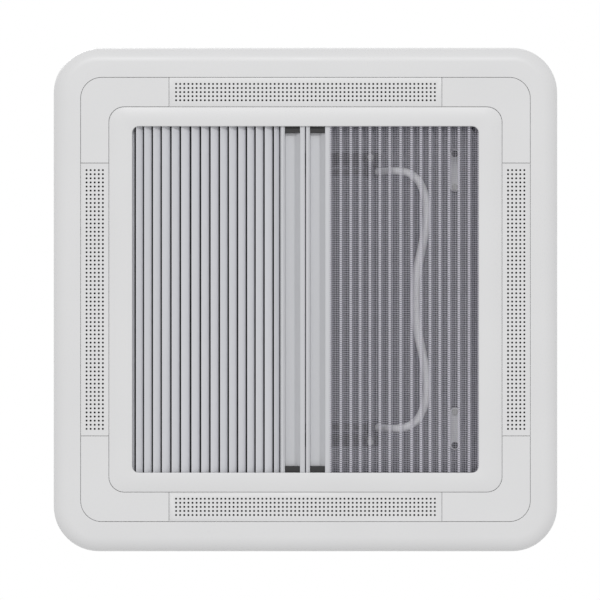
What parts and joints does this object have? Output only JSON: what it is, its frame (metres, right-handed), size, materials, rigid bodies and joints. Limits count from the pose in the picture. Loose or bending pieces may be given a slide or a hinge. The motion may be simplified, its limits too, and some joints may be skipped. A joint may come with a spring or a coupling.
{
  "type": "caravan roof hatch",
  "caption": "Square caravan roof hatch with a smoked double dome, bow handle, ventilated ceiling frame, and pleated blackout and fly screen blinds.",
  "frame": {"origin": "centre of the roof cut-out, on the roof's outer face, where the flange seats", "axes": "+Z out of the roof; +X towards the side of the dome that lifts, the hinge is on -X; +Y along the hinge, across the vehicle or along it as it is fitted"},
  "size_m": [0.5, 0.5, 0.146],
  "materials": {
    "interior_plastic": "light grey, fine satin moulding",
    "roof_frame_plastic": "white satin moulding",
    "white_plastic": "white, semi-gloss",
    "black_plastic": "black satin moulding",
    "smoked_acrylic": "smoke tinted, clear, polished",
    "seal_rubber": "black, matte",
    "black_steel": "black powder coat",
    "zinc_steel": "bright zinc plate",
    "bar_aluminium": "light grey, satin anodised",
    "blackout_fabric": "light grey pleated blackout sheet",
    "mesh_fabric": "grey pleated fly mesh"
  },
  "bodies": {
    "roof_frame": {"outer_frame": "roof_frame_plastic", "dome_gasket": "seal_rubber", "hinge_brackets": "black_plastic", "hinge_pins": "zinc_steel", "bail_brackets": "black_plastic", "bail_bracket_screws": "zinc_steel", "bail_pins": "zinc_steel", "catch_strikes": "roof_frame_plastic", "clamp_brackets": "zinc_steel", "clamp_screws": "zinc_steel", "interior_frame": "interior_plastic", "blind_frame": "interior_plastic", "blind_frame_corners": "interior_plastic", "corner_cover_back_right": "interior_plastic", "corner_cover_back_left": "interior_plastic", "corner_cover_front_right": "interior_plastic", "corner_cover_front_left": "interior_plastic", "vent_grille_back": "interior_plastic", "vent_grille_front": "interior_plastic", "vent_grille_right": "interior_plastic", "vent_grille_left": "interior_plastic", "blind_track_back": "interior_plastic", "blind_track_front": "interior_plastic", "flyscreen_end_rail": "interior_plastic", "blackout_end_rail": "interior_plastic", "track_corners": "black_plastic", "blackout_pleats": "blackout_fabric", "flyscreen_pleats": "mesh_fabric"},
    "bail": {"bail_arms": "black_steel", "bail_grip": "white_plastic", "slide_pins": "zinc_steel", "slide_bushes": "black_plastic"},
    "catch_front": {"catch_lever_front": "white_plastic", "catch_screw_front": "zinc_steel", "catch_tip_front": "seal_rubber"},
    "catch_back": {"catch_lever_back": "white_plastic", "catch_screw_back": "zinc_steel", "catch_tip_back": "seal_rubber"},
    "blackout_pull": {"blackout_bar": "bar_aluminium", "blackout_bar_strip": "bar_aluminium", "blackout_bar_rail": "bar_aluminium", "blackout_bar_ends": "black_plastic"},
    "flyscreen_pull": {"flyscreen_bar": "bar_aluminium", "flyscreen_bar_strip": "bar_aluminium", "flyscreen_bar_rail": "bar_aluminium", "flyscreen_bar_ends": "black_plastic"},
    "dome": {"outer_dome": "smoked_acrylic", "inner_pane": "smoked_acrylic", "pane_spacer": "seal_rubber", "hinge_leaves": "black_plastic", "guide_rail_back": "black_steel", "guide_rail_front": "black_steel", "rail_pads": "smoked_acrylic", "rail_screws": "zinc_steel", "catch_posts": "smoked_acrylic"}
  },
  "joints": [
    {"name": "dome_hinge", "type": "hinge", "parent": "roof_frame", "child": "dome", "pos_m": [-0.232, 0, 0.014], "axis": [0, -1, 0], "range_deg": [0, 45]},
    {"name": "bail_swing", "type": "hinge", "parent": "roof_frame", "child": "bail", "pos_m": [-0.0835, 0, 0.008], "axis": [0, -1, 0], "range_deg": [0, 90]},
    {"name": "catch_front_turn", "type": "hinge", "parent": "dome", "child": "catch_front", "pos_m": [0.151, -0.1135, 0.0078], "axis": [0, 0, 1], "range_deg": [0, 90]},
    {"name": "catch_back_turn", "type": "hinge", "parent": "dome", "child": "catch_back", "pos_m": [0.151, 0.1135, 0.0078], "axis": [0, 0, -1], "range_deg": [0, 90]},
    {"name": "blackout_slide", "type": "slide", "parent": "roof_frame", "child": "blackout_pull", "axis": [1, 0, 0], "range_m": [-0.142, 0.142], "deforming": ["blackout_pleats"]},
    {"name": "flyscreen_slide", "type": "slide", "parent": "roof_frame", "child": "flyscreen_pull", "axis": [1, 0, 0], "range_m": [-0.142, 0.142], "deforming": ["flyscreen_pleats"]}
  ],
  "couplings": [
    {"joint": "bail_swing", "follows": "dome_hinge", "ratio": 2},
    {"joint": "flyscreen_slide", "follows": "blackout_slide", "ratio": 1}
  ]
}
